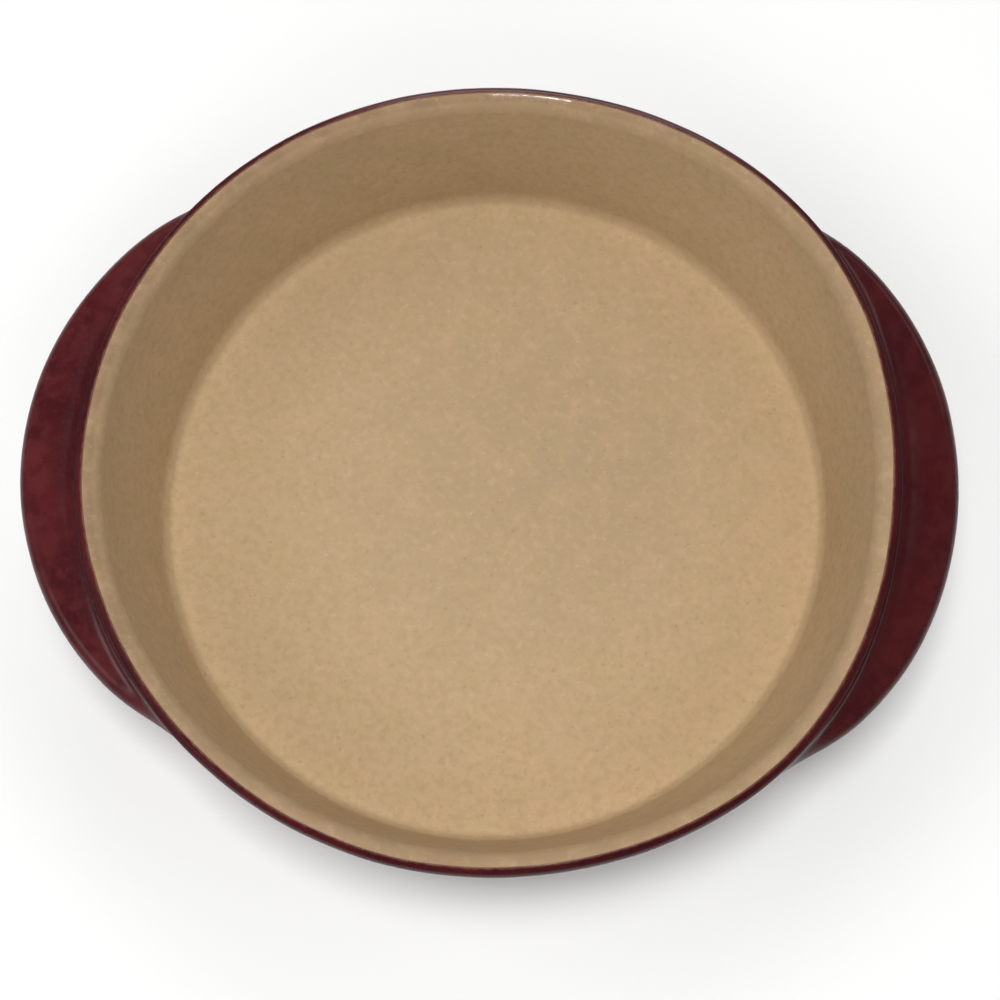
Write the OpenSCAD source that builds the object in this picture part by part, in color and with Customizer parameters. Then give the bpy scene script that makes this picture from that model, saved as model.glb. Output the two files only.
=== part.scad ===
// Round stoneware baking dish with two crescent lug handles.
// Millimetres. Origin at the centre of the foot's underside, +Z up,
// +X through the right handle, -Y towards the side it is seen from.

/* [Bowl] */
// Height from the foot's underside to the top of the lip
height = 73; // [71:1:85]
// Inside depth from the top of the lip to the flat floor
depth = 63.5; // [50:0.5:65]
// Radius of the circle that the crown of the lip is centred on
lip_mid_r = 136.4; // [120:0.1:150]
// Radius of the lip's crown and outer shoulder
lip_r = 3; // [2.5:0.1:4]
// How far the crown's arc goes past the top to the inside, in degrees
lip_turn = 35; // [20:5:50]
// Radius of the gentler arc from there down into the inner wall
lip_wide = 8; // [6:0.5:11]
// Slope of the wall from the vertical, in degrees
wall_slope = 9.5; // [4:0.1:12]
// Radius of the tight arc where the floor turns up into the wall
floor_fillet = 3.5; // [2:0.5:8]
// How far the tight arc turns, in degrees
fillet_turn = 55; // [40:5:70]
// Radius of the wider arc that follows it up to the wall
fillet_wide = 12; // [8:1:20]
// Radius of the outside corner under the wall
base_corner = 12; // [8:1:18]

/* [Foot] */
// Height of the turned foot ring
foot_h = 1.5; // [1:0.25:2.5]
// Width of the foot ring's flat
foot_w = 8; // [5:0.5:9]
// Clearance between the foot ring and the outside corner
foot_inset = 2; // [1.5:0.5:5]

/* [Handles] */
// How far the clay of a handle reaches from the dish's axis
handle_reach = 161; // [154:0.2:164]
// Radius of the handle's outer edge, seen from above
handle_arc_r = 109.4; // [105:0.1:120]
// Depth of the middle of the handle's edge below the top of the lip
handle_drop = 13.4; // [10:0.2:16]
// Radius of the handle's rounded edge, half its thickness
handle_edge_r = 4.6; // [3.5:0.1:5]

/* [Glaze] */
// Thickness of the glaze coat
glaze_t = 0.5; // [0.3:0.1:0.8]
// Where the glaze starts on the lip, in degrees above the horizontal
glaze_start = 81; // [30:1:86]
// Height above the foot's underside at which the glaze stops
glaze_stop = 6; // [4:0.5:10]

/* [Hidden] */
$fn = 180;

tan_clay = [0.73, 0.61, 0.46];
cranberry = [0.34, 0.11, 0.13];

// Heights of the floor and of the underside inside the foot
floor_z = height - depth;
base_z = foot_h;

// A point is [radius, height]. Unit vectors out of the wall, square to its
// face, and up along it.
out = [cos(wall_slope), -sin(wall_slope)];
up = [sin(wall_slope), cos(wall_slope)];

// Where an arc runs smoothly into a straight or another arc, one of the two
// lies this far inside the other, so that they cross instead of only touching
seam = 0.003;
// How far such an arc is drawn on past the place where they cross, in degrees
past = 8;

// Centres of the crown and of the gentler arc inside it, which share a
// tangent at the joint, and where the wall's two faces meet the lip
lip_dir = [-sin(lip_turn), cos(lip_turn)];
lip_c = [lip_mid_r, height - lip_r];
lip_wide_c = lip_c - (lip_wide - lip_r) * lip_dir;
lip_joint = lip_c + lip_r * lip_dir;
lip_in = lip_wide_c - lip_wide * out;
lip_out = lip_c + lip_r * out;

// Radius of the wall's inner face, and of its outer face grown by t, at height z
function inner_r(z) = lip_in[0] + (z - lip_in[1]) * tan(wall_slope);
function outer_r(z, t = 0) =
    lip_out[0] + t / cos(wall_slope) + (z - lip_out[1]) * tan(wall_slope);

// Inside corner: the tight arc and the wider one share a tangent where they
// meet, and the wider one is tangent to the wall
joint_dir = [sin(fillet_turn), -cos(fillet_turn)];
fil_apart = fillet_wide - floor_fillet + 4 * seam;
wide_z = floor_z + floor_fillet + fil_apart * cos(fillet_turn);
wide_c = [inner_r(wide_z) - fillet_wide / cos(wall_slope), wide_z];
fil_c = wide_c + fil_apart * joint_dir;
fil_wall = wide_c + fillet_wide * out;
fil_floor = [fil_c[0], floor_z];

// Outside corner: centre of its arc, and where the arc meets wall and base
cor_c = [outer_r(base_z + base_corner) - base_corner / cos(wall_slope),
         base_z + base_corner];
cor_wall = cor_c + base_corner * out;
cor_base = [cor_c[0], base_z];

// Foot ring
foot_out = cor_base[0] - foot_inset;
foot_in = foot_out - foot_w;

// Centre of a handle's outer edge arc
handle_x = handle_reach - handle_arc_r;
// Height of the middle of a handle's edge
handle_z = height - handle_drop;
// Length of a handle's section, enough to reach inside the wall
handle_run = handle_reach - lip_mid_r + 8;

function polar(a) = [cos(a), sin(a)];

// Sector of a circle from direction a to direction b, in degrees
module sector(c, r, a, b) {
    intersection() {
        translate(c) circle(r = r);
        polygon([c, c + 2 * r * polar(a), c + 2 * r * polar((a + b) / 2),
                 c + 2 * r * polar(b)]);
    }
}

// Half section of the bowl: floor, wall, round lip and foot ring
module bowl_section() {
    difference() {
        union() {
            polygon([[0, base_z], cor_base, cor_wall - seam * out,
                     lip_out - seam * out, lip_c, lip_in + 2 * seam * out,
                     fil_wall + 2 * seam * out, fil_c, fil_floor, [0, floor_z]]);
            intersection() {
                translate(cor_c) circle(r = base_corner);
                polygon([cor_base, cor_base - [0, 1],
                         cor_c + 2 * base_corner * polar(-45),
                         cor_c + 2 * base_corner * polar(past - wall_slope),
                         cor_c + 0.8 * base_corner * polar(past - wall_slope)]);
            }
            translate(lip_c) circle(r = lip_r);
            // The gentler arc sweeps only from the crown to the inner wall
            intersection() {
                translate(lip_wide_c) circle(r = lip_wide - seam);
                polygon([lip_c, lip_c + 3 * lip_r * lip_dir,
                         lip_in - 2 * lip_r * out,
                         lip_in - 2 * lip_r * out - 2 * up,
                         lip_in + out - 2 * up]);
            }
            polygon([[foot_in - 0.8, base_z], [foot_in, 0],
                     [foot_out, 0], [foot_out + 0.8, base_z]]);
        }
        translate(fil_c) circle(r = floor_fillet);
        // The wider arc sweeps only from the joint to the wall
        sector(wide_c, fillet_wide + 3 * seam, fillet_turn - 90, past - wall_slope);
    }
}

// Outline of the wall from the outside corner to the lip, grown by t
module wall_outline(t = 0) {
    s = t - seam;
    translate(lip_c) circle(r = lip_r + t);
    polygon([cor_c, cor_wall + s * out, lip_out + s * out, lip_c]);
    translate(cor_c) circle(r = base_corner + t);
}

// Section of the glaze: over the shoulder of the lip, down the wall and
// round the outside corner
module wall_coat_section(t) {
    far = lip_mid_r + 60;
    intersection() {
        difference() {
            wall_outline(t);
            wall_outline();
        }
        polygon([lip_c, lip_c + 20 * polar(glaze_start), [far, height + 20],
                 [far, glaze_stop], [cor_c[0], glaze_stop], cor_c]);
    }
}

// Everything inside the wall's outer face grown by t, at the handles' height
module wall_envelope(t = 0) {
    z0 = handle_z - 20;
    z1 = height;
    s = t - seam;
    rotate_extrude()
        polygon([[0, z0], [outer_r(z0, s), z0], [outer_r(z1, s), z1], [0, z1]]);
}

// Lug with a round edge, grown by t, before it is cut to the wall
module lug_blank(t = 0) {
    r = handle_edge_r + t;
    c = [handle_arc_r - handle_edge_r, handle_z];
    translate([handle_x, 0, 0]) rotate_extrude() {
        translate(c) circle(r = r);
        translate(c - [handle_run, r]) square([handle_run, 2 * r]);
    }
}

// Clay of one handle, on the +X side
module lug() {
    difference() {
        lug_blank();
        wall_envelope();
    }
}

// Glaze over one handle, on the +X side
module lug_coat() {
    difference() {
        lug_blank(glaze_t);
        lug_blank();
        wall_envelope(glaze_t);
    }
}

module stoneware_bowl() {
    color(tan_clay) rotate_extrude() bowl_section();
}

module right_handle() {
    color(tan_clay) lug();
}

module left_handle() {
    color(tan_clay) mirror([1, 0, 0]) lug();
}

module wall_glaze() {
    color(cranberry) difference() {
        rotate_extrude() wall_coat_section(glaze_t);
        lug_blank();
        mirror([1, 0, 0]) lug_blank();
    }
}

module right_handle_glaze() {
    color(cranberry) lug_coat();
}

module left_handle_glaze() {
    color(cranberry) mirror([1, 0, 0]) lug_coat();
}

stoneware_bowl();
left_handle();
right_handle();
wall_glaze();
left_handle_glaze();
right_handle_glaze();
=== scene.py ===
import math

import bpy
import numpy as np
from mathutils import Matrix, Vector


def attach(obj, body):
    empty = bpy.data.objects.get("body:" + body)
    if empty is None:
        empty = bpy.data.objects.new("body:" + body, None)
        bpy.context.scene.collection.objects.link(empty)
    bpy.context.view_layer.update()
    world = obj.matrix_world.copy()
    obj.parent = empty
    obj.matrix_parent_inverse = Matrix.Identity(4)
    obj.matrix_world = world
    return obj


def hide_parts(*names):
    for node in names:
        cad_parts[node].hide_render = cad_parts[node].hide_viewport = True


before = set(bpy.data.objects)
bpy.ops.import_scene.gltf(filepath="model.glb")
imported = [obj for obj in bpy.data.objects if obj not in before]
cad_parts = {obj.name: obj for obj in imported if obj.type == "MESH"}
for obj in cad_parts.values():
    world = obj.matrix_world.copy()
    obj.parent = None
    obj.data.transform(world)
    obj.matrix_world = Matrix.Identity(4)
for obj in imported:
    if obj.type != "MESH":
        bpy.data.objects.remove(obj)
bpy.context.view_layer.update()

# ---------------------------------------------------------------- shape
HEIGHT = 73.0
DEPTH = 63.5
LIP_R = 3.0
LIP = np.array([136.4, HEIGHT - LIP_R])
LIP_TURN = math.radians(35.0)
LIP_WIDE = 8.0
SLOPE = math.radians(9.5)
OUT = np.array([math.cos(SLOPE), -math.sin(SLOPE)])
UP = np.array([math.sin(SLOPE), math.cos(SLOPE)])
FLOOR_Z = HEIGHT - DEPTH
# Inside corner: a tight arc at the floor that runs into a wider one
FILLET = 3.5
FILLET_TURN = math.radians(55.0)
FILLET_WIDE = 12.0
CORNER = 12.0
BASE_Z = 1.5
FOOT_W = 8.0
FOOT_INSET = 2.0
GLAZE = 0.5
GLAZE_START = math.radians(85.0)
GLAZE_STOP = 6.0

# The crown of the lip runs into a gentler arc on the inside
LIP_DIR = np.array([-math.sin(LIP_TURN), math.cos(LIP_TURN)])
LIP_W = LIP - (LIP_WIDE - LIP_R) * LIP_DIR
LIP_IN = LIP_W - LIP_WIDE * OUT
LIP_OUT = LIP + LIP_R * OUT


def inner_r(z):
    return LIP_IN[0] + (z - LIP_IN[1]) * math.tan(SLOPE)


def outer_r(z):
    return LIP_OUT[0] + (z - LIP_OUT[1]) * math.tan(SLOPE)


# Centres of the two arcs, from the way they have to meet the wall
TURN = np.array([math.sin(FILLET_TURN), -math.cos(FILLET_TURN)])
STEP = (FILLET_WIDE - FILLET) * TURN
FIL_C = np.array([0.0, FLOOR_Z + FILLET])
FIL_C[0] = (LIP_IN @ OUT - FILLET_WIDE + STEP @ OUT - FIL_C[1] * OUT[1]) / OUT[0]
FIL_W = FIL_C - STEP
COR_C = np.array([outer_r(BASE_Z + CORNER) - CORNER / math.cos(SLOPE), BASE_Z + CORNER])

# Handles: a bullnosed slab whose plan is part of a circle
LUG_EDGE = 4.6
LUG_REACH = 161.0
LUG_ARC = 109.4
LUG_X = LUG_REACH - LUG_ARC
LUG_Z = HEIGHT - 13.4
LUG_CORE = LUG_ARC - LUG_EDGE
LUG_SPAN = math.radians(58.5)
BLEND = 5.6

NT = 540
TH = np.arange(NT) * 2 * math.pi / NT


def smooth(x):
    x = np.clip(x, 0.0, 1.0)
    return x * x * (3 - 2 * x)


def ripple(th, seed, low, high, power=1.0):
    """A fixed periodic wave of unit height made of whole turns."""
    rng = np.random.RandomState(seed)
    out = np.zeros_like(th)
    total = 0.0
    for k in range(low, high + 1):
        a = 1.0 / k**power
        out = out + a * np.sin(k * th + rng.uniform(0, 2 * math.pi))
        total += a * a
    return out / math.sqrt(total / 2) / 1.6


# How far the fired rim is out of round: cosine and sine of 2 to 6 turns
ROUND = (0.484, -0.022, -0.901, 0.193, -0.752, 0.088, -0.451, -0.062, -0.120, 0.112)


def out_of_round(th):
    d = np.zeros_like(th)
    for i in range(5):
        d = d + ROUND[2 * i] * np.cos((i + 2) * th) + ROUND[2 * i + 1] * np.sin((i + 2) * th)
    return d


def place(r, th, z):
    """Nominal (radius, angle, height) to the slightly uneven fired shape."""
    w = smooth((z - 6.0) / 55.0)
    d = out_of_round(th) * w
    wall = smooth((r - 60.0) / 50.0)
    d = d + wall * (1 - w) * (0.35 * np.sin(2 * th) - 0.55 * np.cos(2 * th))
    d = d + wall * 0.055 * np.sin(9 * th + z * 0.13 + 0.7) * np.sin(z * 0.085 + 2 * th)
    d = d + wall * 0.035 * np.sin(21 * th - z * 0.19 + 1.9)
    d = d + wall * 0.030 * np.sin(34 * th + z * 0.31 + 0.4) * np.sin(z * 0.21 + 5 * th)
    dz = 0.22 * ripple(th, 11, 2, 6) * smooth((z - 25.0) / 45.0) * wall
    x, y = r * np.cos(th), r * np.sin(th)
    low = (1 - smooth((z - 10.0) / 14.0)) * smooth((z - 5.0) / 3.0)
    dz = dz + low * (0.10 * np.sin(x * 0.041 + 0.6) * np.sin(y * 0.052 + 1.1) + 0.05 * np.sin(x * 0.113 + y * 0.071))
    rr = r + d
    return np.stack([rr * np.cos(th), rr * np.sin(th), z + dz], -1)


def wall_field(r, z):
    """Distance to the wall's outer face and the crown of its lip."""
    vr, vz = r - LIP[0], z - LIP[1]
    down = np.maximum(-(vr * UP[0] + vz * UP[1]), 0.0)
    return np.hypot(vr + down * UP[0], vz + down * UP[1]) - LIP_R


def lug_field(r, th, z):
    """Distance to the nearer handle's slab."""
    x, y = np.abs(r * np.cos(th)), r * np.sin(th)
    # the plan draws in a little towards the two ends
    p = np.hypot(x - LUG_X, y) - LUG_CORE - 0.30 + 1.1 * smooth((np.arctan2(np.abs(y), x) - 0.57) / 0.18)
    half = LUG_EDGE + 0.05 - 0.35 * smooth((p + 13.0) / 13.0)
    mid = LUG_Z + 0.35 * smooth((p + 16.0) / 10.0) - 0.55 * smooth((p + 8.0) / 10.0)
    return np.hypot(np.maximum(p, 0.0), z - mid) - half


def clay_field(r, th, z):
    a, b = wall_field(r, z), lug_field(r, th, z)
    h = np.maximum(BLEND - np.abs(a - b), 0.0) / BLEND
    return np.minimum(a, b) - h * h * BLEND / 4.0


EYE = np.array([134.6, LUG_Z])


def cast(th, phi, t, field=clay_field, reach=46.0):
    """Where rays from inside the wall leave the clay grown by t."""
    lo, hi = np.zeros_like(phi), np.full_like(phi, reach)
    c, s = np.cos(phi), np.sin(phi)
    for _ in range(30):
        m = 0.5 * (lo + hi)
        inside = field(EYE[0] + m * c, th, EYE[1] + m * s) < t
        lo, hi = np.where(inside, m, lo), np.where(inside, hi, m)
    m = 0.5 * (lo + hi)
    return EYE[0] + m * c, EYE[1] + m * s


PHI_A = math.radians(66.0)
PHI_B = math.radians(-80.0)
N_LIP, N_MID, N_LOW, N_TURN = 13, 100, 12, 14


def even(th, top, bottom, dense, fractions):
    """Ray angles that part each section's outline as the fractions say."""
    u = np.linspace(0.0, 1.0, dense)
    phi = top[:, None] + (bottom - top)[:, None] * u[None, :]
    r, z = cast(th[:, None] + 0 * phi, phi, GLAZE)
    step = np.hypot(np.diff(r, axis=1), np.diff(z, axis=1))
    run = np.concatenate([np.zeros((len(th), 1)), np.cumsum(step, axis=1)], axis=1)
    out = np.empty((len(th), len(fractions)))
    for i in range(len(th)):
        out[i] = np.interp(fractions * run[i, -1], run[i], phi[i])
    return out


# The glaze line wavers a little round the lip and above the foot
line_angle = GLAZE_START + math.radians(2.8) * ripple(TH, 3, 3, 26, 0.6)
stop_angle = math.asin((GLAZE_STOP - COR_C[1]) / (CORNER + GLAZE)) + math.radians(2.2) * ripple(TH, 5, 3, 30, 0.5)
edge_r = LIP[0] + LIP_R * np.cos(line_angle)
edge_z = LIP[1] + LIP_R * np.sin(line_angle)
phi_top = np.arctan2(edge_z - EYE[1], edge_r - EYE[0])

lip_steps = np.array([0, 0.025, 0.06, 0.105, 0.16, 0.225, 0.30, 0.385, 0.48, 0.585, 0.70, 0.84, 1.0])
phi = np.concatenate(
    [
        even(TH, phi_top, np.full(NT, PHI_A), 70, lip_steps),
        even(TH, np.full(NT, PHI_A), np.full(NT, PHI_B), 420, np.linspace(0, 1, N_MID + 1))[:, 1:],
    ],
    axis=1,
)
th_grid = np.repeat(TH[:, None], phi.shape[1], axis=1)
skin_r, skin_z = cast(th_grid, phi, GLAZE)
clay_r, clay_z = cast(th_grid, phi, 0.0)
plain_r, plain_z = cast(th_grid, phi, 0.0, field=lambda r, th, z: wall_field(r, z))


def below(r0, z0, t):
    """On down the wall from the last ray and round the outside corner."""
    a0 = -SLOPE
    u = np.linspace(0, 1, N_LOW + 1)[1:]
    end = COR_C + (CORNER + t) * np.array([math.cos(a0), math.sin(a0)])
    r1 = r0[:, None] + (end[0] - r0)[:, None] * u
    z1 = z0[:, None] + (end[1] - z0)[:, None] * u
    v = 1 - (1 - np.linspace(0, 1, N_TURN + 1)[1:]) ** 1.5
    a = a0 + (stop_angle[:, None] - a0) * v
    r2 = COR_C[0] + (CORNER + t) * np.cos(a)
    z2 = COR_C[1] + (CORNER + t) * np.sin(a)
    return np.concatenate([r1, r2], axis=1), np.concatenate([z1, z2], axis=1)


r, z = below(skin_r[:, -1], skin_z[:, -1], GLAZE)
skin_r, skin_z = np.concatenate([skin_r, r], 1), np.concatenate([skin_z, z], 1)
r, z = below(clay_r[:, -1], clay_z[:, -1], 0.0)
clay_r, clay_z = np.concatenate([clay_r, r], 1), np.concatenate([clay_z, z], 1)
NS = skin_r.shape[1]
plain_r_full = np.concatenate([plain_r, clay_r[:, plain_r.shape[1] :]], 1)
th_skin = np.repeat(TH[:, None], NS, axis=1)

step = np.hypot(np.diff(skin_r, axis=1), np.diff(skin_z, axis=1))
from_top = np.concatenate([np.zeros((NT, 1)), np.cumsum(step, axis=1)], axis=1)
from_foot = from_top[:, -1:] - from_top

# Thickness: it thins out over the lip and ends in a small roll above the foot
thin = 0.32 * np.sqrt(1 - (1 - np.clip(from_top / 0.35, 0, 1)) ** 2) + 0.68 * smooth(from_top / 2.6)
roll = np.sqrt(1 - (1 - np.clip(from_foot / 0.9, 0, 1)) ** 2) * (1 + 0.45 * np.exp(-(((from_foot - 1.5) / 1.3) ** 2)))
tau = thin * roll
tau[:, 0] = -0.06
tau[:, -1] = -0.06
coat_r = clay_r + (skin_r - clay_r) * tau
coat_z = clay_z + (skin_z - clay_z) * tau
back_r = clay_r - (skin_r - clay_r) * 0.06
back_z = clay_z - (skin_z - clay_z) * 0.06

COAT = place(coat_r, th_skin, coat_z)
BACK = place(back_r, th_skin, back_z)

# How hollow the surface is, for the darker roots: partly pooled glaze, partly painted shade
field_gap = np.abs(wall_field(clay_r, clay_z) - lug_field(clay_r, th_skin, clay_z))
POOL_AND_SHADE = np.clip(1 - field_gap / BLEND, 0, 1) ** 2
RIM_MM = np.minimum(from_top, 60.0)


def grid_normals(X):
    dth = np.roll(X, -1, axis=0) - np.roll(X, 1, axis=0)
    ds = np.empty_like(X)
    ds[:, 1:-1] = X[:, 2:] - X[:, :-2]
    ds[:, 0] = X[:, 1] - X[:, 0]
    ds[:, -1] = X[:, -1] - X[:, -2]
    n = np.cross(ds, dth)
    return n / np.maximum(np.linalg.norm(n, axis=-1, keepdims=True), 1e-12)


COAT_N = grid_normals(COAT)


def new_mesh(name, verts, faces, normals=None, attributes=None):
    me = bpy.data.meshes.new(name)
    me.from_pydata((np.asarray(verts) * 0.001).tolist(), [], faces.tolist() if hasattr(faces, "tolist") else faces)
    me.update()
    me.polygons.foreach_set("use_smooth", np.ones(len(me.polygons), bool))
    if normals is not None:
        me.normals_split_custom_set(normals.tolist())
    for key, values in (attributes or {}).items():
        a = me.attributes.new(key, "FLOAT", "POINT")
        a.data.foreach_set("value", np.asarray(values, np.float32))
    ob = bpy.data.objects.new(name, me)
    bpy.context.collection.objects.link(ob)
    return ob


def shell(name, outer, inner, normals, mask, attributes):
    """A closed solid between two grids over the faces that the mask keeps."""
    nt, ns = outer.shape[:2]
    i, j = np.nonzero(mask)
    i2 = (i + 1) % nt
    quads = np.stack([i * ns + j, i * ns + j + 1, i2 * ns + j + 1, i2 * ns + j], 1)
    a = quads[:, [0, 1, 2, 3]].ravel()
    b = quads[:, [1, 2, 3, 0]].ravel()
    m = nt * ns
    rim = ~np.isin(a.astype(np.int64) * m + b, b.astype(np.int64) * m + a)
    a, b = a[rim], b[rim]
    sides = np.stack([b, a, a + m, b + m], 1)
    faces = np.concatenate([quads, quads[:, ::-1] + m, sides])
    used, flat = np.unique(faces, return_inverse=True)
    P = np.concatenate([outer.reshape(-1, 3), inner.reshape(-1, 3)])
    N = np.concatenate([normals.reshape(-1, 3), -normals.reshape(-1, 3)])
    loops = N[faces]
    q = P[faces[len(quads) * 2 :]]
    n = np.cross(q[:, 2] - q[:, 0], q[:, 3] - q[:, 1])
    n /= np.maximum(np.linalg.norm(n, axis=1, keepdims=True), 1e-12)
    loops[len(quads) * 2 :] = n[:, None, :]
    values = {k: np.concatenate([v.ravel(), v.ravel()])[used] for k, v in attributes.items()}
    return new_mesh(name, P[used], flat.reshape(-1, 4), loops.reshape(-1, 3), values)


# Which faces of the coat lie on a handle: straight borders in the grid
near_lug = np.abs((TH + math.pi / 2) % math.pi - math.pi / 2)
inside = (near_lug < LUG_SPAN) & (np.roll(near_lug, -1) < LUG_SPAN)
right_side = np.cos(TH) > 0
row = np.arange(NS - 1)
lug_rows = (row >= N_LIP - 1) & (row < N_LIP - 1 + N_MID)
everywhere = np.ones((NT, NS - 1), bool)
right_mask = (inside & right_side)[:, None] & lug_rows[None, :]
left_mask = (inside & ~right_side)[:, None] & lug_rows[None, :]
lug_x, lug_y = np.abs(clay_r * np.cos(th_skin)), clay_r * np.sin(th_skin)
# Outer part of the handles, where the glaze is painted a brighter red, partly as painted sheen
CREST = smooth((np.hypot(lug_x - LUG_X, lug_y) - LUG_CORE + 15.0) / 12.0) * (clay_z < LUG_Z + 8.0)
CREST = CREST * smooth((clay_r - plain_r_full) / 3.0)
# Where the coat is duller: the shoulder of the lip and the handles' round edge
over = 1 - smooth((near_lug - 0.74) / 0.30)
ends = smooth((near_lug - 0.40) / 0.22)[:, None]
upper, lower = smooth((clay_z - 70.3) / 1.1), smooth((clay_z - LUG_Z - 5.0) / 3.0)
shoulder = smooth((73.4 - clay_z) / 1.4) * (upper + (lower - upper) * ends) * (1 - smooth((clay_r - plain_r_full) / 2.5))
edge = smooth((np.hypot(lug_x - LUG_X, lug_y) - LUG_CORE + 1.5) / 4.0) * smooth((clay_r - plain_r_full) / 3.0)
DULL = np.maximum(shoulder * (0.45 + 0.55 * over[:, None]), 0.6 * edge)
# and the hollow at their root, where it is a little softer, most at the left
SOFT = smooth(1.5 - field_gap / (BLEND * 1.5)) * np.where(right_side, 0.3, 1.0)[:, None]
coat_values = {"rim_mm": RIM_MM, "pool_and_shade": POOL_AND_SHADE, "crest": CREST, "dull": DULL, "soft": SOFT, "foot_mm": np.minimum(from_foot, 60.0)}

wall_coat = shell("wall_glaze_coat", COAT, BACK, COAT_N, everywhere & ~right_mask & ~left_mask, coat_values)
right_coat = shell("right_handle_glaze_coat", COAT, BACK, COAT_N, right_mask, coat_values)
left_coat = shell("left_handle_glaze_coat", COAT, BACK, COAT_N, left_mask, coat_values)

# Clay of the handles, under the coat
cut = slice(N_LIP - 1, N_LIP + N_MID)
LUG_OUT = place(clay_r[:, cut] - 0.05, th_skin[:, cut], clay_z[:, cut])
LUG_IN = place(plain_r[:, cut] - 0.05, th_skin[:, cut], plain_z[:, cut])
LUG_N = grid_normals(LUG_OUT)
thick = np.hypot(clay_r[:, cut] - plain_r[:, cut], clay_z[:, cut] - plain_z[:, cut]) > 0.12
full = thick & np.roll(thick, -1, axis=0)
full = full[:, :-1] & full[:, 1:]
tone = np.full(LUG_OUT.shape[:2], 0.5)
right_clay = shell("right_handle_clay", LUG_OUT, LUG_IN, LUG_N, full & right_side[:, None], {"tone": tone})
left_clay = shell("left_handle_clay", LUG_OUT, LUG_IN, LUG_N, full & ~right_side[:, None], {"tone": tone})


# ---------------------------------------------------------------- bowl
def arc(c, rad, a0, a1, n):
    a = np.radians(np.linspace(a0, a1, n))
    return [[c[0] + rad * math.cos(t), c[1] + rad * math.sin(t)] for t in a]


def line(p, q, n):
    u = np.linspace(0, 1, n + 2)[1:-1]
    return [[p[0] + (q[0] - p[0]) * t, p[1] + (q[1] - p[1]) * t] for t in u]


deg = math.degrees(SLOPE)
foot_out = COR_C[0] - FOOT_INSET
foot_in = foot_out - FOOT_W
section = [[0.0, FLOOR_Z]]
section += [[float(v), FLOOR_Z] for v in np.linspace(1.5, FIL_C[0], 44)[:-1]]
turned = math.degrees(FILLET_TURN) - 90
section += arc(FIL_C, FILLET, -90, turned, 14)
section += arc(FIL_W, FILLET_WIDE, turned, -deg, 12)[1:]
section += line(FIL_W + FILLET_WIDE * OUT, LIP_IN, 18)
inside_line = list(section)
crown = math.degrees(LIP_TURN) + 90
section += arc(LIP_W, LIP_WIDE, 180 - deg, crown, 26)
section += arc(LIP, LIP_R, crown, -deg, 46)[1:]
section += line(LIP_OUT, COR_C + CORNER * OUT, 18)
section += arc(COR_C, CORNER, -deg, -90, 22)
section += arc([foot_out + 0.9, BASE_Z - 0.3], 0.3, 90, 180, 4)
section += arc([foot_out - 0.1, 0.7], 0.7, 0, -90, 6)
section += line([foot_out - 0.8, 0], [foot_in + 0.8, 0], 4)
section += arc([foot_in + 0.1, 0.7], 0.7, -90, -180, 6)
section += arc([foot_in - 0.9, BASE_Z - 0.3], 0.3, 0, 90, 4)
section += [[float(v), BASE_Z] for v in np.linspace(foot_in - 1.6, 1.5, 30)]
section += [[0.0, BASE_Z]]
section = np.array(section)


def revolve(name, prof, values):
    n = len(prof)
    ring = prof[1:-1]
    m = n - 2
    pts = place(
        np.repeat(ring[:, 0][None, :], NT, 0),
        np.repeat(TH[:, None], m, 1),
        np.repeat(ring[:, 1][None, :], NT, 0),
    ).reshape(-1, 3)
    zero = np.zeros(1)
    tip = place(zero, zero, np.array([prof[0, 1]]))
    end = place(zero, zero, np.array([prof[-1, 1]]))
    verts = np.concatenate([pts, tip, end])
    i = np.arange(NT)
    i2 = (i + 1) % NT
    j = np.arange(m - 1)
    A = (i[:, None] * m + j[None, :]).ravel()
    B = (i2[:, None] * m + j[None, :]).ravel()
    faces = np.stack([A, A + 1, B + 1, B], 1).tolist()
    faces += np.stack([np.full(NT, NT * m), i2 * m, i * m], 1)[:, [0, 2, 1]].tolist()
    faces += np.stack([np.full(NT, NT * m + 1), i * m + m - 1, i2 * m + m - 1], 1)[:, [0, 2, 1]].tolist()
    v = {k: np.concatenate([np.tile(a[1:-1], NT), a[:1], a[-1:]]) for k, a in values.items()}
    return new_mesh(name, verts, faces, None, v)


sr, sz = section[:, 0], section[:, 1]
# 0 on the floor, 1 on the lip and outside: where the clay is darkened, partly a toasted tone and partly painted shade
above = smooth((sz - 66.0) / 5.0) * (0.50 + 0.20 * smooth((sr - 133.5) / 2.5))
outside_face = np.arange(len(section)) > len(inside_line) + 71
tone = np.where(outside_face, 0.6, above)
# Masks: the middle of the floor, painted darker as shade, and the floor's edge, painted paler as light
centre_shade = smooth(1.42 - sr / 78.0) * smooth((sz - 5.0) / 3.0)
flat = 1 - smooth((sz - 8.0) / 30.0)
corner = np.exp(-(((sr - FIL_C[0]) / 4.5) ** 2)) * smooth((sz - 5.0) / 3.0) * (1 - smooth((sz - 9.6) / 1.2))
on_crown = smooth((sz - 70.6) / 1.6) * smooth((sr - 132.8) / 1.6)
bowl = revolve("bowl_clay", section, {"tone": tone, "centre_shade": centre_shade, "flat": flat, "corner": corner, "crown": on_crown})


# ---------------------------------------------------------------- materials
def material(name):
    m = bpy.data.materials.new(name)
    m.use_nodes = True
    nt = m.node_tree
    nt.nodes.clear()
    out = nt.nodes.new("ShaderNodeOutputMaterial")
    bsdf = nt.nodes.new("ShaderNodeBsdfPrincipled")
    nt.links.new(bsdf.outputs[0], out.inputs[0])
    return m, nt, bsdf


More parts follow.
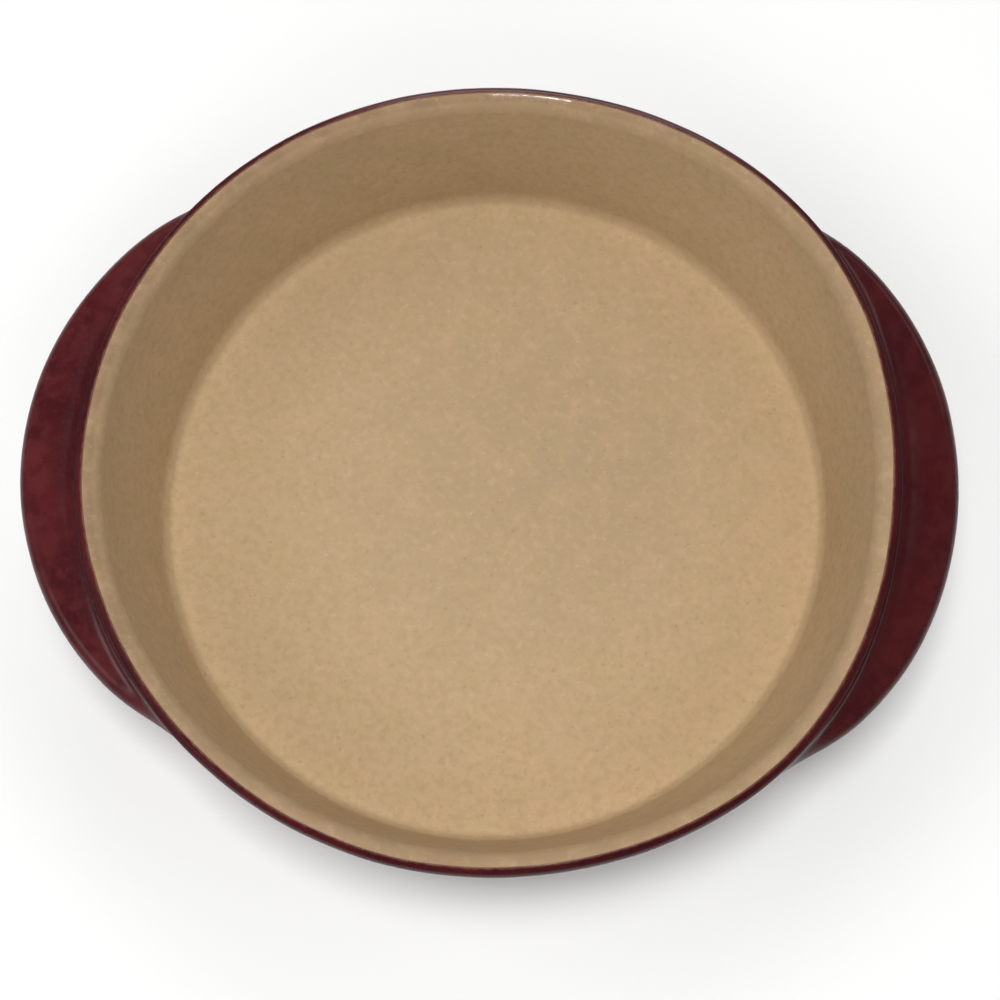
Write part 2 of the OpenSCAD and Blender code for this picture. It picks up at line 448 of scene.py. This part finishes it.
class Tree:
    def __init__(self, nt):
        self.nt = nt
        self.coord = nt.nodes.new("ShaderNodeTexCoord").outputs["Object"]

    def link(self, a, b):
        self.nt.links.new(a, b)

    def noise(self, scale, detail=2.0, rough=0.5, distortion=0.0, vector=None):
        n = self.nt.nodes.new("ShaderNodeTexNoise")
        n.inputs["Scale"].default_value = scale
        n.inputs["Detail"].default_value = detail
        n.inputs["Roughness"].default_value = rough
        n.inputs["Distortion"].default_value = distortion
        self.link(vector or self.coord, n.inputs["Vector"])
        return n.outputs["Fac"]

    def cells(self, scale, feature="F1", vector=None):
        n = self.nt.nodes.new("ShaderNodeTexVoronoi")
        n.feature = feature
        n.inputs["Scale"].default_value = scale
        self.link(vector or self.coord, n.inputs["Vector"])
        return n

    def ramp(self, fac, stops, interpolation="LINEAR"):
        n = self.nt.nodes.new("ShaderNodeValToRGB")
        n.color_ramp.interpolation = interpolation
        e = n.color_ramp.elements
        while len(e) < len(stops):
            e.new(0.5)
        for k, (p, c) in enumerate(stops):
            e[k].position = p
            e[k].color = (c, c, c, 1) if isinstance(c, (int, float)) else (*c, 1)
        self.link(fac, n.inputs["Fac"])
        return n.outputs["Color"]

    def span(self, value, a, b, c=0.0, d=1.0, smooth_step=False):
        n = self.nt.nodes.new("ShaderNodeMapRange")
        n.interpolation_type = "SMOOTHSTEP" if smooth_step else "LINEAR"
        self.link(value, n.inputs["Value"])
        n.inputs["From Min"].default_value = a
        n.inputs["From Max"].default_value = b
        n.inputs["To Min"].default_value = c
        n.inputs["To Max"].default_value = d
        return n.outputs["Result"]

    def math(self, op, a, b=None, c=None):
        n = self.nt.nodes.new("ShaderNodeMath")
        n.operation = op
        for k, v in enumerate((a, b, c)):
            if v is None:
                continue
            if isinstance(v, (int, float)):
                n.inputs[k].default_value = v
            else:
                self.link(v, n.inputs[k])
        return n.outputs[0]

    def mix(self, fac, a, b, blend="MIX"):
        n = self.nt.nodes.new("ShaderNodeMix")
        n.data_type = "RGBA"
        n.blend_type = blend
        n.clamp_factor = True
        if isinstance(fac, (int, float)):
            n.inputs[0].default_value = fac
        else:
            self.link(fac, n.inputs[0])
        for k, v in ((6, a), (7, b)):
            if isinstance(v, tuple):
                n.inputs[k].default_value = (*v, 1)
            else:
                self.link(v, n.inputs[k])
        return n.outputs[2]

    def value(self, name):
        n = self.nt.nodes.new("ShaderNodeAttribute")
        n.attribute_name = name
        return n.outputs["Fac"]

    def bump(self, height, distance, strength=1.0, normal=None):
        n = self.nt.nodes.new("ShaderNodeBump")
        n.inputs["Strength"].default_value = strength
        n.inputs["Distance"].default_value = distance
        self.link(height, n.inputs["Height"])
        if normal is not None:
            self.link(normal, n.inputs["Normal"])
        return n.outputs["Normal"]


def stoneware():
    m, nt, bsdf = material("bare_stoneware")
    t = Tree(nt)
    # slow change of tone over the whole dish
    slow = t.noise(11.0, 3.0, 0.55)
    base = t.mix(t.span(slow, 0.32, 0.68), (0.410, 0.297, 0.169), (0.453, 0.318, 0.181))
    # painted light: the upright wall is painted a little lighter and greyer than the floor, standing in for the light
    # on the wall
    wall_light = t.math("SUBTRACT", 1.0, t.value("flat"))
    base = t.mix(t.math("MULTIPLY", wall_light, 0.27), base, (0.540, 0.412, 0.250))
    # lip and outside darkened, partly a kiln-toasted tone and partly painted shade; the painted shade is strongest on
    # the crown of the lip towards the back-left
    lean = nt.nodes.new("ShaderNodeVectorMath")
    lean.operation = "DOT_PRODUCT"
    t.link(t.coord, lean.inputs[0])
    lean.inputs[1].default_value = (-0.75, 0.66, 0.0)
    toast_and_shade = t.math("MULTIPLY_ADD", t.value("crown"), t.span(lean.outputs["Value"], -0.08, 0.12, 0.0, 0.30, True), t.value("tone"))
    base = t.mix(t.span(toast_and_shade, 0.0, 1.0, 0.0, 1.0), base, (0.244, 0.152, 0.087))
    # painted shade: the middle of the floor is painted darker and greyer, evening out the light that pools there
    base = t.mix(t.math("MULTIPLY", t.value("centre_shade"), 0.84), base, (0.305, 0.225, 0.135))
    # painted light and shade: the floor painted paler towards the front-left and at its very edge, and darker towards
    # the back-left, following how the light falls
    side = nt.nodes.new("ShaderNodeVectorMath")
    side.operation = "DOT_PRODUCT"
    t.link(t.coord, side.inputs[0])
    side.inputs[1].default_value = (-0.6, -0.8, 0.0)
    floor_light = t.math("MULTIPLY", t.span(side.outputs["Value"], -0.12, 0.14, 0.0, 0.42, True), t.value("flat"))
    floor_shade = t.math("MULTIPLY", t.span(lean.outputs["Value"], -0.04, 0.10, 0.0, 0.32, True), t.value("flat"))
    base = t.mix(floor_shade, base, (0.350, 0.254, 0.147))
    floor_light = t.math("MULTIPLY_ADD", t.value("corner"), 0.14, floor_light)
    base = t.mix(floor_light, base, (0.590, 0.430, 0.255))
    # soft mottling of the clay body, pinkish and greenish, at two sizes
    m1 = t.noise(85.0, 4.0, 0.6)
    base = t.mix(t.span(m1, 0.44, 0.64, 0.0, 0.18, True), base, (0.560, 0.345, 0.225))
    m2 = t.noise(110.0, 4.0, 0.6, vector=shifted(nt, t, 3.1))
    base = t.mix(t.span(m2, 0.46, 0.66, 0.0, 0.21, True), base, (0.385, 0.305, 0.135))
    m3 = t.noise(330.0, 3.0, 0.55, vector=shifted(nt, t, 4.6))
    base = t.mix(t.span(m3, 0.42, 0.68, 0.0, 0.26, True), base, (0.340, 0.228, 0.122))
    m4 = t.noise(300.0, 2.0, 0.5, vector=shifted(nt, t, 8.3))
    base = t.mix(t.span(m4, 0.50, 0.72, 0.0, 0.19, True), base, (0.560, 0.410, 0.260))
    grain = t.noise(900.0, 3.0, 0.6)
    base = t.mix(t.span(grain, 0.30, 0.70, 0.0, 0.17), base, (0.35, 0.235, 0.125), "MIX")
    # iron specks, sparse, small and faint
    v1 = t.cells(380.0)
    size1 = t.math("MULTIPLY", t.noise(150.0, 1.0, vector=shifted(nt, t, 7.7)), 0.40)
    soft1 = t.span(t.math("SUBTRACT", size1, v1.outputs["Distance"]), -0.10, 0.12, 0.0, 1.0, True)
    gate1 = t.span(t.noise(310.0, 0.0, vector=shifted(nt, t, 1.3)), 0.56, 0.62, 0.0, 1.0, True)
    speck1 = t.math("MULTIPLY", t.math("MULTIPLY", soft1, gate1), 0.25)
    base = t.mix(speck1, base, (0.215, 0.140, 0.072))
    # pale grit
    v2 = t.cells(520.0, vector=shifted(nt, t, 5.9))
    soft2 = t.span(v2.outputs["Distance"], 0.08, 0.30, 1.0, 0.0, True)
    gate2 = t.span(t.noise(360.0, 0.0, vector=shifted(nt, t, 9.2)), 0.57, 0.63, 0.0, 1.0, True)
    base = t.mix(t.math("MULTIPLY", t.math("MULTIPLY", soft2, gate2), 0.24), base, (0.62, 0.47, 0.31))
    nt.links.new(base, bsdf.inputs["Base Color"])
    rough = t.span(t.noise(420.0, 3.0), 0.3, 0.7, 0.78, 0.95)
    # the crown of the lip is rubbed smoother in patches near the middle of
    # the back
    back = nt.nodes.new("ShaderNodeSeparateXYZ")
    t.link(t.coord, back.inputs[0])
    middle = t.math("ABSOLUTE", t.math("SUBTRACT", back.outputs["X"], 0.007))
    more = t.span(middle, 0.008, 0.027, 0.12, -0.20, True)
    rubbed = t.math("ADD", t.noise(210.0, 3.0, 0.6, vector=shifted(nt, t, 2.9)), more)
    rub = t.math("MULTIPLY", t.span(rubbed, 0.48, 0.60, 0.0, 1.0, True), t.value("crown"))
    rub = t.math("MULTIPLY", rub, t.span(back.outputs["Y"], 0.03, 0.12, 0.0, 1.0, True))
    rough = t.math("MULTIPLY_ADD", rub, -0.62, rough)
    nt.links.new(rough, bsdf.inputs["Roughness"])
    bsdf.inputs["Specular IOR Level"].default_value = 0.32
    nt.links.new(t.math("MULTIPLY_ADD", rub, 0.68, 0.32), bsdf.inputs["Specular IOR Level"])
    coarse = t.bump(t.noise(210.0, 3.0, 0.5), 0.00010, 0.35)
    fine = t.bump(t.noise(1300.0, 3.0, 0.65), 0.00005, 0.55, coarse)
    nt.links.new(fine, bsdf.inputs["Normal"])
    return m


def shifted(nt, t, amount):
    n = nt.nodes.new("ShaderNodeMapping")
    n.inputs["Location"].default_value = (amount, amount * 0.63, -amount * 0.41)
    nt.links.new(t.coord, n.inputs["Vector"])
    return n.outputs["Vector"]


def glaze():
    m, nt, bsdf = material("cranberry_glaze")
    t = Tree(nt)
    cloud = t.noise(26.0, 4.0, 0.55, 0.6)
    base = t.mix(t.span(cloud, 0.34, 0.66, 0.0, 1.0, True), (0.040, 0.0044, 0.0066), (0.080, 0.0094, 0.0112))
    blotch = t.noise(120.0, 3.0, 0.6, 0.4, vector=shifted(nt, t, 4.1))
    base = t.mix(t.span(blotch, 0.46, 0.66, 0.0, 0.42, True), base, (0.034, 0.0048, 0.0082))
    # fine broken texture inside the glaze
    fleck = t.noise(520.0, 3.0, 0.6, vector=shifted(nt, t, 2.4))
    base = t.mix(t.span(fleck, 0.45, 0.75, 0.0, 0.45, True), base, (0.092, 0.0125, 0.0160))
    dim = t.noise(300.0, 3.0, 0.6, vector=shifted(nt, t, 6.8))
    base = t.mix(t.span(dim, 0.52, 0.75, 0.0, 0.38, True), base, (0.036, 0.0040, 0.0050))
    # fuller red out on the handles, in soft patches: partly fuller glaze, partly painted sheen for the broad soft
    # reflection there
    patch = t.noise(135.0, 3.0, 0.55, 0.3, vector=shifted(nt, t, 11.3))
    fuller_and_sheen = t.span(patch, 0.40, 0.62, 0.14, 0.50, True)
    base = t.mix(t.math("MULTIPLY", t.value("crest"), fuller_and_sheen), base, (0.112, 0.0200, 0.0220))
    # painted shade: the glaze is darker towards the right, where less light falls
    east = nt.nodes.new("ShaderNodeSeparateXYZ")
    t.link(t.coord, east.inputs[0])
    base = t.mix(t.span(east.outputs["X"], -0.13, 0.13, 0.0, 0.50, True), base, (0.027, 0.0034, 0.0040))
    # darker in the roots of the handles: partly pooled glaze, partly painted shade in the hollow
    base = t.mix(t.math("MULTIPLY", t.value("pool_and_shade"), 0.60), base, (0.030, 0.0042, 0.0058))
    # thin and brown where it runs out on the lip and above the foot
    edge = t.span(t.math("ADD", t.value("rim_mm"), t.span(t.noise(420.0, 2.0), 0.3, 0.7, -0.25, 0.25)), 0.15, 1.1, 1.0, 0.0, True)
    base = t.mix(t.math("MULTIPLY", edge, 0.75), base, (0.155, 0.065, 0.040))
    low = t.span(t.math("ADD", t.value("foot_mm"), t.span(t.noise(300.0, 2.0), 0.3, 0.7, -0.3, 0.3)), 0.1, 1.0, 1.0, 0.0, True)
    base = t.mix(t.math("MULTIPLY", low, 0.6), base, (0.120, 0.045, 0.030))
    nt.links.new(base, bsdf.inputs["Base Color"])
    rough = t.span(t.noise(95.0, 4.0, 0.6), 0.3, 0.7, 0.11, 0.20)
    rough = t.math("MULTIPLY_ADD", t.value("dull"), 0.26, rough)
    rough = t.math("MULTIPLY_ADD", t.value("soft"), 0.10, rough)
    nt.links.new(rough, bsdf.inputs["Roughness"])
    bsdf.inputs["IOR"].default_value = 1.5
    shine = t.math("MULTIPLY_ADD", t.value("dull"), -0.45, 0.5)
    nt.links.new(shine, bsdf.inputs["Specular IOR Level"])
    wave = t.bump(t.noise(85.0, 2.0, 0.5), 0.00012, 0.35)
    peel = t.bump(t.noise(420.0, 2.0, 0.5), 0.00002, 0.25, wave)
    nt.links.new(peel, bsdf.inputs["Normal"])
    return m


def pale_floor():
    m, nt, bsdf = material("pale_floor")
    t = Tree(nt)
    c = t.mix(t.span(t.noise(3.0, 3.0), 0.3, 0.7), (0.84, 0.84, 0.835), (0.86, 0.86, 0.855))
    nt.links.new(c, bsdf.inputs["Base Color"])
    bsdf.inputs["Roughness"].default_value = 0.9
    bsdf.inputs["Specular IOR Level"].default_value = 0.1
    return m


clay_material = stoneware()
glaze_material = glaze()
for piece, mat, node, slot in (
    (bowl, clay_material, "stoneware_bowl", "stoneware"),
    (left_clay, clay_material, "left_handle", "handle_clay"),
    (right_clay, clay_material, "right_handle", "handle_clay"),
    (wall_coat, glaze_material, "wall_glaze", "wall_glaze"),
    (left_coat, glaze_material, "left_handle_glaze", "handle_glaze"),
    (right_coat, glaze_material, "right_handle_glaze", "handle_glaze"),
):
    piece.data.materials.append(mat)
    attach(piece, "root")
    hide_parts(node)


# ---------------------------------------------------------------- stage
def disc(name, rings, turns=96):
    verts, faces = [(0.0, 0.0, 0.0)], []
    for rad, h in rings:
        for k in range(turns):
            a = 2 * math.pi * k / turns
            verts.append((rad * math.cos(a), rad * math.sin(a), h))
    for k in range(turns):
        faces.append((0, 1 + k, 1 + (k + 1) % turns))
    for q in range(len(rings) - 1):
        for k in range(turns):
            a, b = 1 + q * turns + k, 1 + q * turns + (k + 1) % turns
            faces.append((a, a + turns, b + turns, b))
    me = bpy.data.meshes.new(name)
    me.from_pydata(verts, [], faces)
    me.polygons.foreach_set("use_smooth", np.ones(len(me.polygons), bool))
    ob = bpy.data.objects.new(name, me)
    bpy.context.collection.objects.link(ob)
    return ob


floor = disc("studio_floor", [(0.3, 0.0), (0.8, 0.0), (2.0, 0.0), (6.0, 0.0)])
floor.data.materials.append(pale_floor())

world = bpy.data.worlds.new("studio")
bpy.context.scene.world = world
world.use_nodes = True
wt = world.node_tree
bg = wt.nodes["Background"]
wc = wt.nodes.new("ShaderNodeTexCoord")
ws = wt.nodes.new("ShaderNodeSeparateXYZ")
wr = wt.nodes.new("ShaderNodeValToRGB")
wt.links.new(wc.outputs["Generated"], ws.inputs[0])
wt.links.new(ws.outputs["Z"], wr.inputs["Fac"])
sky = wr.color_ramp.elements
sky[0].position, sky[0].color = 0.0, (0.22, 0.22, 0.22, 1)
sky[1].position, sky[1].color = 0.90, (0.05, 0.05, 0.05, 1)
for at, grey in ((0.20, 0.16), (0.5, 0.08)):
    sky.new(at).color = (grey, grey, grey, 1)
wt.links.new(wr.outputs["Color"], bg.inputs["Color"])
bg.inputs["Strength"].default_value = 1.0


def softbox(name, at, to, size, watts, glossy=True):
    li = bpy.data.lights.new(name, "AREA")
    li.shape = "RECTANGLE"
    li.size, li.size_y = size
    li.energy = watts
    ob = bpy.data.objects.new(name, li)
    bpy.context.collection.objects.link(ob)
    ob.location = at
    ob.visible_glossy = glossy
    ob.rotation_euler = (Vector(to) - Vector(at)).to_track_quat("-Z", "Y").to_euler()
    return ob


# Fills light the clay evenly and stay out of the glaze's reflections
softbox("top_fill", (-0.05, -0.08, 1.6), (0, 0, 0.03), (0.5, 0.5), 17.5, glossy=False)
softbox("left_fill", (-1.5, 0.1, 1.4), (0, 0, 0.05), (1.2, 0.8), 8.0, glossy=False)
softbox("right_fill", (1.5, 0.1, 1.4), (0, 0, 0.05), (1.2, 0.8), 6.0, glossy=False)
softbox("front_fill", (0.0, -1.5, 1.4), (0, 0, 0.05), (1.2, 0.8), 7.5, glossy=False)
softbox("back_fill", (0.1, 1.5, 1.4), (0, 0, 0.05), (1.2, 0.8), 7.5, glossy=False)
# Small soft windows that the glaze does show
softbox("left_window", (-1.2, -0.55, 1.1), (0, 0, 0.05), (0.7, 0.5), 2.2)
softbox("right_window", (1.0, 0.95, 1.0), (0, 0, 0.05), (0.6, 0.4), 0.5)
# A window and a small lamp behind the dish, which only glint on the far rim
# and on the upper ends of the handles
for name, at, size, watts in (
    ("back_window", (0.05, 1.5, 0.95), (1.0, 0.5), 5.5),
    ("back_lamp", (-0.01, 0.42, 1.25), (0.12, 0.07), 3.2),
):
    behind = softbox(name, at, (0.0, 0.135, 0.07), size, watts)
    behind.visible_diffuse = False

# ---------------------------------------------------------------- camera
# Pose of the camera as a rotation vector and an offset in millimetres, with
# the focal length in thousandths of the picture's width
POSE = (-0.26645027, 0.02065916, 0.04636185)
SHIFT = (-2.09, 4.53, 677.92533503)
FOCAL = 1804.15


def turn(w):
    a = math.sqrt(sum(v * v for v in w))
    k = np.array(w) / a
    K = np.array([[0, -k[2], k[1]], [k[2], 0, -k[0]], [-k[1], k[0], 0]])
    return np.eye(3) + math.sin(a) * K + (1 - math.cos(a)) * K @ K


R = turn(POSE) @ np.diag([1.0, -1.0, -1.0])
eye = -R.T @ np.array(SHIFT) * 0.001
cam_data = bpy.data.cameras.new("camera")
cam_data.sensor_width = 36.0
cam_data.lens = FOCAL / 1000.0 * 36.0
cam = bpy.data.objects.new("camera", cam_data)
bpy.context.collection.objects.link(cam)
cam.matrix_world = Matrix(
    (
        (R[0][0], -R[1][0], -R[2][0], eye[0]),
        (R[0][1], -R[1][1], -R[2][1], eye[1]),
        (R[0][2], -R[1][2], -R[2][2], eye[2]),
        (0, 0, 0, 1),
    )
)
bpy.context.scene.camera = cam
bpy.context.scene.view_settings.view_transform = "Standard"
